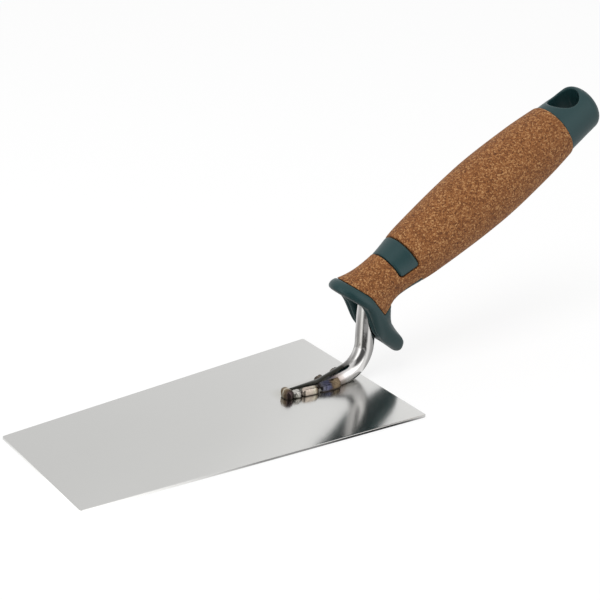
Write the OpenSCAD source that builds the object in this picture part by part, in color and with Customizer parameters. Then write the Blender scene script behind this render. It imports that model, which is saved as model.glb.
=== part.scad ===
// Bucket trowel: a flat steel blade, a bent round tang welded to it, and a two-shot handle
// of green plastic and cork composite.
// +X runs from the blade's toe to its heel and on to the handle, +Z is up, and the origin
// is the centre of the blade's underside.

/* [Blade] */
// Length of the blade from toe to heel
blade_len = 160; // [130:1:200]
// Width of the blade at its toe
toe_w = 73; // [55:1:100]
// Width of the blade at its heel
heel_w = 95; // [70:1:130]
// Thickness of the blade sheet
blade_t = 1.2; // [0.8:0.1:2]
// Radius of the blade's corners
blade_corner_r = 1.2; // [0.6:0.2:5]

/* [Tang] */
// Diameter of the tang's round bar
tang_d = 8.8; // [7:0.2:10]
// Length of the foot on the blade, from its tip to the heel edge
foot_len = 42; // [34:1:55]
// Height of the pressed toe of the foot
tip_h = 3.8; // [3:0.1:4.6]
// Width of the foot at its tip
tip_w = 3.8; // [3:0.2:6]
// Length over which the foot narrows to its tip
tip_len = 16; // [8:1:20]
// Length of the foot that lies level before it slopes up
level_len = 19; // [14:0.5:22]
// Slope of the foot behind its level toe
foot_slope = 15; // [10:1:20]
// Radius of the easy bend from the level toe to that slope, at the bar's centre
ease_r = 16; // [8:1:30]
// Radius of the bend from the foot to the riser, at the bar's centre
foot_bend_r = 14; // [9:0.5:15]
// Radius of the bend inside the guard, at the bar's centre
guard_bend_r = 12; // [9:0.5:14]
// Lean of the riser from upright, towards the handle
riser_lean = 3; // [0:1:12]
// Height of the upper corner of the bar's centre line above the blade
corner_h = 41.1; // [38:0.1:60]
// Distance of that corner behind the heel edge
corner_back = 2.5; // [-4:0.1:8]
// Length of the tail from that corner to its end inside the handle
tail_len = 90; // [60:1:105]
// Width across the two flats of the tail
tail_flats = 7; // [5:0.2:8]
// Length of the two flats at the end of the tail
tail_flat_len = 26; // [10:1:40]

/* [Welds] */
// Radius of the deposit across the toe of the foot
toe_weld_r = 2.2; // [1.8:0.1:2.6]
// Width of that deposit, without its round ends
toe_weld_w = 2.6; // [1:0.2:4]
// Distance from the foot's tip to the middle of that deposit
toe_weld_at = 1.2; // [0.4:0.1:1.6]
// Radius of the front deposits beside the foot
front_weld_r = 2; // [1.2:0.1:2.4]
// Radius of the rear deposits beside the foot
rear_weld_r = 2.2; // [1.6:0.1:3]
// Distance from the foot's tip to the first deposit on the near side
near_start = 2.2; // [1.6:0.2:4]
// Length of the first deposit on the near side
near_front_len = 5.6; // [4.8:0.2:7]
// Length of the second deposit on the near side
near_middle_len = 8.4; // [6:0.2:10]
// Distance from the foot's tip to the third deposit on the near side
near_rear_at = 15.4; // [14:0.2:18]
// Length of the third deposit on the near side
near_rear_len = 12.6; // [9:0.2:14]
// Distance from the foot's tip to the front deposit on the far side
far_front_at = 18.5; // [8:0.5:20]
// Length of the front deposit on the far side
far_front_len = 5.2; // [4.8:0.2:6]
// Distance from the foot's tip to the rear deposit on the far side
far_rear_at = 26.5; // [25.5:0.5:28]
// Length of the rear deposit on the far side
far_rear_len = 6; // [6:0.2:8]
// Overlap of two deposits that follow each other
weld_overlap = 0.6; // [0.2:0.1:1]
// Bite of the deposits into the side of the foot
weld_bite = 0.7; // [0.3:0.1:1.2]
// Share of a deposit's radius that is left at its top
weld_taper = 0.94; // [0.8:0.02:0.94]
// Height of the deposits' lowest centres above the blade
weld_low = 0.7; // [0.2:0.1:1.1]
// Height of the near deposits' highest centres above the blade
near_rise = 1.6; // [1.2:0.1:2]
// Height of the far deposits' highest centres above the blade
far_rise = 1.6; // [1.2:0.1:2.4]
// Height of the toe deposit's highest centre above the blade
toe_rise = 2.2; // [1.6:0.1:2.6]

/* [Handle] */
// Rise of the handle's axis from the blade's plane
handle_tilt = 27.9; // [15:0.1:45]
// Distance of the neck from the bar's upper corner, along the handle
neck_at = 9.7; // [8:0.1:16]
// Diameter at the neck
neck_d = 21.6; // [19:0.2:26]
// Distance from the neck to the swell behind the badge
swell_gap = 20; // [16:1:26]
// Diameter at that swell
swell_d = 27.4; // [24:0.2:30]
// Distance from the neck to the widest place in the palm
palm_gap = 60; // [45:1:70]
// Diameter at the palm
palm_d = 32.6; // [28:0.2:38]
// Distance from the neck to the rear taper
rear_gap = 90; // [80:1:98]
// Diameter at the rear taper
rear_d = 30.6; // [27:0.2:34]
// Distance from the neck to the seam between cork and cap
seam_gap = 109; // [104:1:120]
// Diameter of the cork at that seam
seam_d = 26.8; // [24:0.2:30]
// Thickness of the cork layer at the neck
cork_t = 3.4; // [2:0.1:4]

/* [Guard] */
// Reach of the guard above the handle's axis
lobe_reach = 14; // [13:0.5:24]
// Reach of the finger guard below the handle's axis
finger_reach = 36.2; // [28:0.1:45]
// Half width of the guard
guard_half_w = 11.8; // [11:0.5:18]
// Distance from the neck forward to the guard's seam, on the axis
guard_gap = 13.9; // [12:0.5:24]
// Forward shift of the guard's face for each millimetre above the axis
lean_up = 0.46; // [0:0.02:0.6]
// Backward shift of the guard's face for each millimetre below the axis
lean_down = 0.16; // [0:0.02:0.4]
// Sway of the seam on the finger guard, forward in its upper half and back in its lower
guard_sway = 1; // [0:0.1:1.4]
// Width of the green band from the seam to the guard's face
band_w = 4.6; // [3:0.2:8]
// Widening of that band towards the handle, above the axis
band_widening = 1.4; // [0:0.1:2]
// Height above the axis at which the band reaches that widening
widening_h = 6; // [3:0.5:12]
// Forward bulge of the guard's chin below the bar
chin_bulge = 3.4; // [0:0.2:4]
// Radius of the band's rounding
band_r = 3; // [1:0.2:4]
// Width of the opening in the guard's face
mouth_w = 10.2; // [9.2:0.2:14]
// Reach of that opening above the axis
mouth_up = 8; // [6:0.5:11]
// Reach of that opening below the axis
mouth_down = 22; // [18:0.5:26]
// Depth of the opening behind the guard's seam before it narrows to the bar
mouth_depth = 0; // [0:0.5:2]
// Clearance between the bar's bend and the end of the guard's hollow
bend_clearance = 0.5; // [0.2:0.1:2]
// Distance of the green strip's edge below the handle's axis, at the guard's seam
strip_drop = 8.4; // [7:0.2:10]
// Rise of that edge from the seam to its rear end
strip_rise = 1.6; // [0:0.2:2]
// Distance that the green strip runs behind the neck
strip_len = 12.5; // [4:0.5:20]

/* [Badge] */
// Length of the bare badge panel along the handle
badge_len = 10; // [6:0.2:14]
// Distance from the neck to the front of the badge panel
badge_gap = 2.8; // [1:0.2:6]
// Height of the badge panel's lower edge above the handle's axis
badge_edge = 1.2; // [0:0.1:5]
// Radius of the badge panel's lower corners
badge_corner_r = 1.5; // [0.5:0.1:3]

/* [Cap] */
// Length of the cap from the seam to its end
cap_len = 23.2; // [20:0.5:36]
// Step from the cork down to the cap at the seam
cap_step = 0.6; // [0.2:0.1:1.5]
// Diameter of the cap before its rounded end
cap_end_d = 23.2; // [20:0.2:26]
// Length of the cap's rounded end
cap_round = 5.5; // [3:0.5:10]
// Diameter of the hanging hole
hang_d = 14.6; // [6:0.2:15]
// Distance from the seam to the centre of the hanging hole
hang_gap = 11.6; // [9:0.2:16]

/* [Hidden] */

// Sides of the bar, the grip, the core under the cork and the welds; each divides by 4
bar_sides = 32;
ring_sides = 40;
core_sides = 24;
weld_sides = 16;
// Steepness of the grip at the neck, and of its last taper against a straight one
neck_slope = 0.03;
seam_taper = 1.3;
// Powers that shape the flare's top, drop and width, and the cap's dome
top_power = 3;
drop_power = 2.9;
half_power = 3;
cap_dome = 0.6;
// Angle at which the band's rounding starts at the seam, the further turn that it starts with
// at the finger guard's tip, and the lip it makes at the seam
band_start = -36;
tip_turn = 16;
band_lip = 0.04;
// Reach of the core's body into the band and the cap
joint_reach = 1.5;
// Steps of the flare and of the band's rounding
flare_steps = 7;
band_steps = 6;

// Upper corner of the bar's centre line
corner_x = blade_len / 2 + corner_back;
corner_z = blade_t + corner_h;
// Level toe of the foot, whose bar is sunk to leave its height above the blade
toe_x = blade_len / 2 - foot_len;
toe_z = blade_t + tip_h - tang_d / 2;
slope_x = toe_x + level_len;
// Turns of the bar's two bends, the tangents of its bends, and the straight of its sloping foot
foot_turn = 90 - riser_lean - foot_slope;
guard_turn = 90 - riser_lean - handle_tilt;
ease_tangent = ease_r * tan(foot_slope / 2);
foot_tangent = foot_bend_r * tan(foot_turn / 2);
guard_tangent = guard_bend_r * tan(guard_turn / 2);
slope_bar = ((corner_x - slope_x) * cos(riser_lean) - (corner_z - toe_z) * sin(riser_lean))
    / cos(foot_slope + riser_lean) - foot_tangent;

// Stations along the handle, measured from the bar's upper corner
seam_at = neck_at + seam_gap;
rim_at = neck_at - guard_gap;
badge_at = neck_at + badge_gap;
strip_end = neck_at + strip_len;
cap_end = seam_at + cap_len;
hang_at = seam_at + hang_gap;

// Outline of the grip behind the neck, as [distance, radius]
grip_stations = [
    [neck_at, neck_d / 2],
    [neck_at + swell_gap, swell_d / 2],
    [neck_at + palm_gap, palm_d / 2],
    [neck_at + rear_gap, rear_d / 2],
    [seam_at, seam_d / 2]
];

function mix(a, b, t) = a + (b - a) * t;
// Slope of the grip's outline at station i of p
function slope(p, i) = i == 0 ? neck_slope
    : i == len(p) - 1 ? (p[i][1] - p[i - 1][1]) / (p[i][0] - p[i - 1][0]) * seam_taper
    : (p[i + 1][1] - p[i - 1][1]) / (p[i + 1][0] - p[i - 1][0]);
// A smooth curve through the stations of p, with n points between each pair
function curve(p, n) = [
    for (i = [0 : len(p) - 2], k = [0 : n - 1])
        let (t = k / n, d = p[i + 1][0] - p[i][0])
            [p[i][0] + t * d,
             (2 * t^3 - 3 * t^2 + 1) * p[i][1] + (t^3 - 2 * t^2 + t) * d * slope(p, i)
             + (3 * t^2 - 2 * t^3) * p[i + 1][1] + (t^3 - t^2) * d * slope(p, i + 1)],
    p[len(p) - 1]
];

// Half width of the drawn-in foot at a distance behind its tip
function foot_half(x) = min(tang_d, mix(tip_w, tang_d, x / tip_len)) / 2;

// Sizes of the flare at t, from 0 at the neck to 1 at the guard's seam
function flare_t(k) = 1 - (1 - k)^1.4;
function flare_top(t) = mix(neck_d / 2, lobe_reach, t^top_power);
function flare_drop(t) = mix(neck_d / 2, finger_reach, t^drop_power);
function flare_half(t) = mix(neck_d / 2, guard_half_w, t^half_power);
// Share of the way from the neck's radius to the finger guard's tip, at the height v
function tongue_share(v) = min(1, max(0, -v - neck_d / 2) / (finger_reach - neck_d / 2));
// Forward shift of the guard's seam at the height v besides its lean, and forward bulge of its face
function sway(v) = v > 0 ? -band_widening * sin(90 * min(1, v / widening_h))
    : guard_sway * sin(360 * tongue_share(v));
function chin(v) = v > 0 ? 0 : chin_bulge * sin(180 * min(1, -v / finger_reach))^2;
// Point of the guard at the angle a from its top: t is its place on the flare, out its distance
// outside it, and f its share of the way from the seam to the guard's face
function guard_point(a, t, out, f) =
    let (v = cos(a) * ((cos(a) > 0 ? flare_top(t) : flare_drop(t)) + out),
         w = sin(a) * (flare_half(t) + out),
         lean = v > 0 ? lean_up : lean_down)
        [mix(neck_at, rim_at, t) - t * (lean * v + sway(v)) - f * (band_w + chin(v) - sway(v)), w, v];
function guard_ring(t, out, f = 0, sides = ring_sides) = [
    for (i = [0 : sides - 1]) guard_point(360 * i / sides, t, out, f)
];
// Ring of the band at k, from 0 at the seam to 1 at the guard's face
function band_ring(k) = [
    for (i = [0 : ring_sides - 1])
        let (a = 360 * i / ring_sides,
             start = band_start - tip_turn * max(0, -cos(a))^4,
             turn = mix(start, 90, k))
            guard_point(a, 1, band_lip + band_r * (cos(turn) - cos(start)),
                (sin(turn) - sin(start)) / (1 - sin(start)))
];
// One round ring of radius r about [x, z], square to a line that rises at the given angle
function round_ring(x, z, r, angle, sides) = [
    for (i = [0 : sides - 1])
        let (a = 360 * i / sides)
            [x - r * cos(a) * sin(angle), r * sin(a), z + r * cos(a) * cos(angle)]
];

// Skin over rings that follow each other, closed at both ends by a fan from the middle
module loft(rings) {
    n = len(rings[0]);
    last = len(rings) - 1;
    middles = [for (r = [rings[0], rings[last]]) (r[n / 4] + r[3 * n / 4]) / 2];
    first_middle = n * (last + 1);
    polyhedron(
        points = [for (r = rings) each r, each middles],
        faces = [
            for (i = [0 : n - 1])
                [first_middle, (i + 1) % n, i],
            for (k = [0 : last - 1], i = [0 : n - 1])
                let (j = (i + 1) % n)
                    each [
                        [k * n + i, k * n + j, (k + 1) * n + j],
                        [k * n + i, (k + 1) * n + j, (k + 1) * n + i]
                    ],
            for (i = [0 : n - 1])
                [first_middle + 1, last * n + i, last * n + (i + 1) % n]
        ]
    );
}

module in_handle() {
    translate([corner_x, 0, corner_z])
        rotate([0, -handle_tilt, 0])
            children();
}

module along_x(r, from, to) {
    translate([from, 0, 0])
        rotate([0, 90, 0])
            cylinder(r = r, h = to - from, $fn = bar_sides);
}

// Revolves an outline of [distance, radius] points about the handle's axis
module revolved(outline) {
    rotate([0, 90, 0])
        rotate([0, 0, 90])
            rotate_extrude($fn = 72)
                polygon([for (p = outline) [p[1], p[0]]]);
}

module blade() {
    r = blade_corner_r;
    half = [toe_w / 2, heel_w / 2];
    color("silver")
        linear_extrude(blade_t)
            polygon([
                for (c = [[-1, -1], [1, -1], [1, 1], [-1, 1]], k = [0 : 4])
                    let (a = atan2(c[1], c[0]) - 45 + k * 22.5,
                         h = c[0] < 0 ? half[0] : half[1])
                        [c[0] * (blade_len / 2 - r) + r * cos(a), c[1] * (h - r) + r * sin(a)]
            ]);
}

// Stations along a bend that starts at p with the given angle, as [x, z, angle]
function bend_path(p, angle, r, turn, steps) = [
    for (k = [0 : steps])
        let (a = angle + turn * k / steps, side = sign(turn))
            [p[0] + side * r * (sin(a) - sin(angle)), p[1] - side * r * (cos(a) - cos(angle)), a]
];
function along(p, angle, d) = [p[0] + d * cos(angle), p[1] + d * sin(angle)];

foot_corner = along([slope_x, toe_z], foot_slope, slope_bar + foot_tangent);
corner = [corner_x, corner_z];
// The bar's centre line from the foot's tip to the end of its slope, and on to its own end
foot_path = [
    [toe_x, toe_z, 0],
    each bend_path([slope_x - ease_tangent, toe_z], 0, ease_r, foot_slope, 3),
    [each along(foot_corner, foot_slope, -foot_tangent), foot_slope]
];
riser_path = [
    each bend_path(along(foot_corner, foot_slope, -foot_tangent), foot_slope, foot_bend_r, foot_turn, 8),
    each bend_path(
        along(corner, 90 - riser_lean, -guard_tangent), 90 - riser_lean, guard_bend_r, -guard_turn, 7
    ),
    [each along(corner, handle_tilt, tail_len), handle_tilt]
];

module round_bar(path) {
    loft([for (p = path) round_ring(p[0], p[1], tang_d / 2, p[2], bar_sides)]);
}

// Waste beside the foot, where its sides are drawn in to the tip
module foot_waste() {
    reach = tip_len * (2 * tang_d - tip_w) / (tang_d - tip_w);
    for (side = [-1, 1])
        translate([toe_x, 0, 0])
            linear_extrude(4 * tang_d)
                polygon([
                    [-tang_d, side * foot_half(-tang_d)],
                    [reach, side * tang_d],
                    [-tang_d, side * tang_d]
                ]);
}

// Space of the blade and below
module under_blade_top() {
    translate([toe_x - tang_d, -tang_d, blade_t - 2 * tang_d])
        cube([foot_len + 3 * tang_d, 2 * tang_d, 2 * tang_d]);
}

// Waste beside the two flats at the end of the tail
module tail_waste() {
    in_handle()
        for (side = [-1, 1])
            translate([tail_len - tail_flat_len, side * (tail_flats + tang_d) / 2 - tang_d / 2, -tang_d])
                cube([2 * tail_flat_len, tang_d, 2 * tang_d]);
}

// The straight end of the bar inside the handle, reaching ahead into the guard's hollow
module tail() {
    difference() {
        round_bar([for (d = [guard_tangent, tail_len]) [each along(corner, handle_tilt, d), handle_tilt]]);
        tail_waste();
    }
}

module tang() {
    color("gainsboro")
        difference() {
            round_bar([each foot_path, for (k = [1 : len(riser_path) - 1]) riser_path[k]]);
            under_blade_top();
            foot_waste();
            tail_waste();
        }
}

// Round-ended deposit between two points on the blade, up to a height and cut to seat on the blade
// and the foot
module deposit(ends, r, rise) {
    difference() {
        hull()
            for (p = ends, z = [weld_low, rise])
                translate([toe_x + p[0], p[1], blade_t + z])
                    sphere(z == rise ? r * weld_taper : r, $fn = weld_sides);
        under_blade_top();
        difference() {
            round_bar(foot_path);
            foot_waste();
        }
    }
}

// Deposit along one side of the foot, from a distance behind the foot's tip, which climbs with
// the foot's slope
module side_deposit(from, length, side, r) {
    climb = max(0, from + length / 2 - level_len) * tan(foot_slope);
    deposit(
        [for (x = [from + r, from + length - r]) [x, side * (foot_half(x) - weld_bite)]],
        r,
        climb + (side < 0 ? near_rise : far_rise)
    );
}

module weld_toe() {
    color("darkkhaki")
        deposit([for (side = [-1, 1]) [toe_weld_at, side * toe_weld_w / 2]], toe_weld_r, toe_rise);
}

module weld_near_front() {
    color("tan")
        difference() {
            side_deposit(near_start, near_front_len, -1, front_weld_r);
            weld_toe();
        }
}

module weld_near_middle() {
    color("burlywood")
        difference() {
            side_deposit(
                near_start + near_front_len - weld_overlap, near_middle_len, -1, front_weld_r
            );
            weld_near_front();
        }
}

module weld_near_rear() {
    color("slategray")
        difference() {
            side_deposit(near_rear_at, near_rear_len, -1, rear_weld_r);
            weld_near_middle();
        }
}

module weld_far_front() {
    color("tan")
        side_deposit(far_front_at, far_front_len, 1, rear_weld_r);
}

module weld_far_rear() {
    color("slategray")
        side_deposit(far_rear_at, far_rear_len, 1, rear_weld_r);
}

// Rings of the grip from the guard's seam to the cap's seam, set in by inset
function grip_rings(inset, sides) = [
    for (k = [flare_steps : -1 : 1]) guard_ring(flare_t(k / flare_steps), -inset, 0, sides),
    for (p = curve(grip_stations, 4)) round_ring(p[0], 0, p[1] - inset, 0, sides)
];

// Core under the cork, which reaches into the guard's band and into the cap
module core_body() {
    loft([
        guard_ring(1, -cork_t, joint_reach / band_w, core_sides),
        each grip_rings(cork_t, core_sides),
        round_ring(seam_at + joint_reach, 0, seam_d / 2 - cork_t, 0, core_sides)
    ]);
}

// Grip's outside where the core comes to the surface, which reaches into the guard's band
module surface_body() {
    loft([guard_ring(1, -band_lip, joint_reach / band_w), each grip_rings(0, ring_sides)]);
}

// Space below the strip's edge, where the green plastic shows
module strip_space() {
    ahead = 2 * finger_reach;
    rotate([90, 0, 0])
        linear_extrude(2 * palm_d, center = true)
            polygon([
                [rim_at - ahead, -strip_drop - strip_rise * ahead / (strip_end - rim_at)],
                [rim_at - ahead, -ahead],
                [strip_end, -ahead],
                [strip_end, strip_rise - strip_drop]
            ]);
}

// Space over the badge panel, with rounded lower corners
module badge_space() {
    r = badge_corner_r;
    rotate([90, 0, 0])
        linear_extrude(2 * palm_d, center = true)
            polygon([
                for (k = [0 : 4])
                    [badge_at + r * (1 - sin(k * 22.5)), badge_edge + r * (1 - cos(k * 22.5))],
                [badge_at, palm_d],
                [badge_at + badge_len, palm_d],
                for (k = [4 : -1 : 0])
                    [badge_at + badge_len - r * (1 - sin(k * 22.5)), badge_edge + r * (1 - cos(k * 22.5))]
            ]);
}

// Green band around the guard, rounded from the seam to its flat face
module guard_band() {
    loft([for (k = [band_steps : -1 : 0]) band_ring(k / band_steps)]);
}

module cap() {
    front = seam_d / 2 - cap_step;
    round_at = cap_end - cap_round;
    revolved([
        [seam_at, 0],
        [seam_at, front],
        for (k = [0 : 6])
            let (a = 90 * k / 6)
                [round_at + cap_round * sin(a), cap_end_d / 2 * cos(a)^cap_dome],
    ]);
}

// Hollow of the guard around the bar's bend
module guard_hollow() {
    r = mouth_w / 2;
    hull() {
        for (v = [mouth_up - r, r - mouth_down])
            translate([0, 0, v])
                along_x(r, rim_at - band_w - lean_up * mouth_up - chin_bulge, rim_at + mouth_depth);
        along_x(tang_d / 2 + bend_clearance, guard_tangent, guard_tangent + bend_clearance);
    }
}

module handle_core() {
    color("darkslategray")
        difference() {
            in_handle()
                difference() {
                    union() {
                        core_body();
                        intersection() {
                            surface_body();
                            union() {
                                strip_space();
                                badge_space();
                            }
                        }
                        guard_band();
                        cap();
                    }
                    guard_hollow();
                    translate([hang_at, 0, -palm_d])
                        cylinder(d = hang_d, h = 2 * palm_d, $fn = 48);
                }
            tail();
        }
}

module cork_grip() {
    color("peru")
        in_handle()
            difference() {
                loft(grip_rings(0, ring_sides));
                strip_space();
                badge_space();
                core_body();
                guard_hollow();
            }
}

blade();
tang();
weld_toe();
weld_near_front();
weld_near_middle();
weld_near_rear();
weld_far_front();
weld_far_rear();
handle_core();
cork_grip();
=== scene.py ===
import math

import bmesh
import bpy
import numpy as np
from mathutils import Matrix, Vector


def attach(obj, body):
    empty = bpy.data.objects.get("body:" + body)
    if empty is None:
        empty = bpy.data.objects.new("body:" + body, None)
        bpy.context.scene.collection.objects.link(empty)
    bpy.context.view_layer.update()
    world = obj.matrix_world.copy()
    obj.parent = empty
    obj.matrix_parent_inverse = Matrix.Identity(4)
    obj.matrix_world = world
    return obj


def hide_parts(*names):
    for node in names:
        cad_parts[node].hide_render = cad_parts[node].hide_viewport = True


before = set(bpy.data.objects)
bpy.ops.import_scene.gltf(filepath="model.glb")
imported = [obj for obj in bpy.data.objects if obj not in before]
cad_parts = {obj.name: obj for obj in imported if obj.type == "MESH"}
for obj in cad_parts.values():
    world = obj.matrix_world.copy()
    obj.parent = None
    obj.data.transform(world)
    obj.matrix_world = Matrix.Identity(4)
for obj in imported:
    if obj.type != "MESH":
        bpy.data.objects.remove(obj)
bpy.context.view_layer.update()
MM = 0.001

# ---------------------------------------------------------------- camera

# Found from the corners of the blade and the axis of the handle
TARGET = Vector((106.207, 89.253, 0)) * MM
CAMERA_AZIMUTH, CAMERA_ELEVATION = math.radians(-33.915), math.radians(23.198)
CAMERA_DISTANCE, LENS, SENSOR_W, CLIP_START = 793.823 * MM, 94.094, 36, 0.01
BACK = Vector((
    math.sin(CAMERA_AZIMUTH) * math.cos(CAMERA_ELEVATION),
    -math.cos(CAMERA_AZIMUTH) * math.cos(CAMERA_ELEVATION),
    math.sin(CAMERA_ELEVATION),
))
camera_data = bpy.data.cameras.new("camera")
camera_data.lens = LENS
camera_data.sensor_width = SENSOR_W
camera_data.clip_start = CLIP_START
camera = bpy.data.objects.new("camera", camera_data)
camera.location = TARGET + BACK * CAMERA_DISTANCE
camera.rotation_euler = BACK.to_track_quat("Z", "Y").to_euler()
bpy.context.scene.collection.objects.link(camera)
bpy.context.scene.camera = camera
bpy.context.scene.view_settings.view_transform = "Standard"

# ---------------------------------------------------------------- sizes, in mm, as in the CAD source

BLADE_LEN, TOE_W, HEEL_W, BLADE_T, BLADE_CORNER_R = 160, 73, 95, 1.2, 1.2
TANG_D, FOOT_LEN, TIP_H, TIP_W, TIP_LEN = 8.8, 42, 3.8, 3.8, 16
LEVEL_LEN, FOOT_SLOPE, EASE_R = 19, 15, 16
FOOT_BEND_R, GUARD_BEND_R, RISER_LEAN = 14, 12, 3
CORNER_H, CORNER_BACK, TAIL_LEN = 41.1, 2.5, 90
HANDLE_TILT = 27.9
NECK_AT, NECK_D, CORK_T = 9.7, 21.6, 3.4
GRIP_STATIONS = [(0, 21.6), (20, 27.4), (60, 32.6), (90, 30.6), (109, 26.8)]
NECK_SLOPE, SEAM_TAPER = 0.03, 1.3
LOBE_REACH, FINGER_REACH, GUARD_HALF_W = 14, 36.2, 11.8
TOP_POWER, DROP_POWER, HALF_POWER = 3, 2.9, 3
GUARD_GAP, LEAN_UP, LEAN_DOWN, GUARD_SWAY = 13.9, 0.46, 0.16, 1
BAND_W, BAND_WIDENING, WIDENING_H = 4.6, 1.4, 6
BAND_R, CHIN_BULGE = 3, 3.4
BAND_START, TIP_TURN, BAND_LIP = 36, 16, 0.04
MOUTH_W, MOUTH_UP, MOUTH_DOWN = 10.2, 8, 22
STRIP_DROP, STRIP_RISE, STRIP_LEN = 8.4, 1.6, 12.5
BADGE_LEN, BADGE_GAP, BADGE_EDGE, BADGE_CORNER_R = 10, 2.8, 1.2, 1.5
CAP_LEN, CAP_STEP, CAP_END_D, CAP_ROUND, CAP_DOME = 23.2, 0.6, 23.2, 5.5, 0.6
HANG_D, HANG_GAP = 14.6, 11.6

SEAM_AT = NECK_AT + GRIP_STATIONS[-1][0]
RIM_AT = NECK_AT - GUARD_GAP
BADGE_AT = NECK_AT + BADGE_GAP
STRIP_END = NECK_AT + STRIP_LEN
CAP_END = SEAM_AT + CAP_LEN
HANG_AT = SEAM_AT + HANG_GAP
CORNER = (BLADE_LEN / 2 + CORNER_BACK, BLADE_T + CORNER_H)
TOE_X, TOE_Z = BLADE_LEN / 2 - FOOT_LEN, BLADE_T + TIP_H - TANG_D / 2
SLOPE_X = TOE_X + LEVEL_LEN
TILT = math.radians(HANDLE_TILT)
HANDLE_TO_ROW = Matrix.Translation((CORNER[0], 0, CORNER[1])) @ Matrix.Rotation(-TILT, 4, "Y")


def new_object(name, mesh):
    """An object in the scene with the given mesh."""
    obj = bpy.data.objects.new(name, mesh)
    bpy.context.scene.collection.objects.link(obj)
    return obj


def mesh_object(name, verts, faces, matrix=None):
    """A smooth-shaded object from vertices in mm, placed by a matrix in mm."""
    mesh = bpy.data.meshes.new(name)
    verts = np.asarray(verts, float).reshape(-1, 3)
    if matrix is not None:
        m = np.array(matrix)
        verts = verts @ m[:3, :3].T + m[:3, 3]
    mesh.from_pydata((verts * MM).tolist(), [], faces)
    mesh.update()
    mesh.shade_smooth()
    return new_object(name, mesh)


def apply_modifiers(obj):
    """Turns an object's modifiers into its mesh."""
    depsgraph = bpy.context.evaluated_depsgraph_get()
    mesh = bpy.data.meshes.new_from_object(obj.evaluated_get(depsgraph))
    obj.modifiers.clear()
    obj.data = mesh
    return obj


# ---------------------------------------------------------------- solids from distance fields

def round_max(a, b, r):
    """Distance to what two solids share, with the edge between them rounded to r."""
    return np.minimum(np.maximum(a, b), -r) + np.hypot(np.maximum(a + r, 0), np.maximum(b + r, 0))


def round_min(a, b, r):
    """Distance to two solids together, with the corner between them filled to r."""
    return np.maximum(np.minimum(a, b), r) - np.hypot(np.maximum(r - a, 0), np.maximum(r - b, 0))


def blend(a, b, share):
    """The value a given share of the way from a to b."""
    return a + (b - a) * share


def as_distance(g, step):
    """Turns a field that is zero on a surface into a distance near that surface."""
    gx, gy, gz = np.gradient(g, step)
    return g / np.maximum(np.sqrt(gx * gx + gy * gy + gz * gz), 1e-3)


def surface_nets(field, low, step):
    """Quads on the zero surface of a field sampled from the corner low with the given step."""
    inside = field < 0
    cells = np.zeros([n - 1 for n in field.shape], np.uint8)
    corners = [(i, j, k) for i in (0, 1) for j in (0, 1) for k in (0, 1)]
    for corner in corners:
        window = tuple(slice(at, inside.shape[d] - 1 + at) for d, at in enumerate(corner))
        cells += inside[window]
    active = (cells > 0) & (cells < 8)
    index = -np.ones(active.shape, np.int64)
    index[active] = np.arange(active.sum())
    at = np.argwhere(active)
    value = {c: field[at[:, 0] + c[0], at[:, 1] + c[1], at[:, 2] + c[2]] for c in corners}
    # One vertex in each cell that the surface crosses, at the mean of the crossings of its edges
    total, count = np.zeros((len(at), 3)), np.zeros(len(at))
    for c in corners:
        for axis in range(3):
            if c[axis]:
                continue
            d = tuple(1 if n == axis else c[n] for n in range(3))
            a, b = value[c], value[d]
            cut = (a < 0) != (b < 0)
            share = np.where(cut, a / np.where(cut, a - b, 1), 0)
            point = np.array(c, float)[None, :] + share[:, None] * np.eye(3)[axis][None, :]
            total += point * cut[:, None]
            count += cut
    verts = (at + total / count[:, None]) * step + np.array(low)
    # One quad round each edge of the grid that the surface crosses
    faces = []
    for axis in range(3):
        b, c = (axis + 1) % 3, (axis + 2) % 3
        first = [slice(None)] * 3
        second = [slice(None)] * 3
        first[axis], second[axis] = slice(0, -1), slice(1, None)
        flips = inside[tuple(first)] != inside[tuple(second)]
        edge = np.argwhere(flips)
        keep = (edge[:, b] > 0) & (edge[:, c] > 0)
        keep &= (edge[:, b] < field.shape[b] - 1) & (edge[:, c] < field.shape[c] - 1)
        edge = edge[keep]
        around = []
        for ob, oc in ((-1, -1), (0, -1), (0, 0), (-1, 0)):
            cell = edge.copy()
            cell[:, b] += ob
            cell[:, c] += oc
            around.append(index[cell[:, 0], cell[:, 1], cell[:, 2]])
        quads = np.stack(around, 1)
        outward = inside[edge[:, 0], edge[:, 1], edge[:, 2]]
        quads[~outward] = quads[~outward][:, ::-1]
        faces.append(quads)
    return verts, np.concatenate(faces)


def sample(field, points, low, step):
    """Trilinear values of a sampled field at points."""
    p = (points - np.array(low)) / step
    base = np.clip(np.floor(p).astype(int), 0, np.array(field.shape) - 2)
    f = p - base
    out = np.zeros(len(points))
    for i in (0, 1):
        for j in (0, 1):
            for k in (0, 1):
                weight = np.where(i, f[:, 0], 1 - f[:, 0]) * np.where(j, f[:, 1], 1 - f[:, 1])
                weight = weight * np.where(k, f[:, 2], 1 - f[:, 2])
                out += weight * field[base[:, 0] + i, base[:, 1] + j, base[:, 2] + k]
    return out


SETTLING_ROUNDS, LEAST_SLOPE = 3, 0.25


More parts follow.
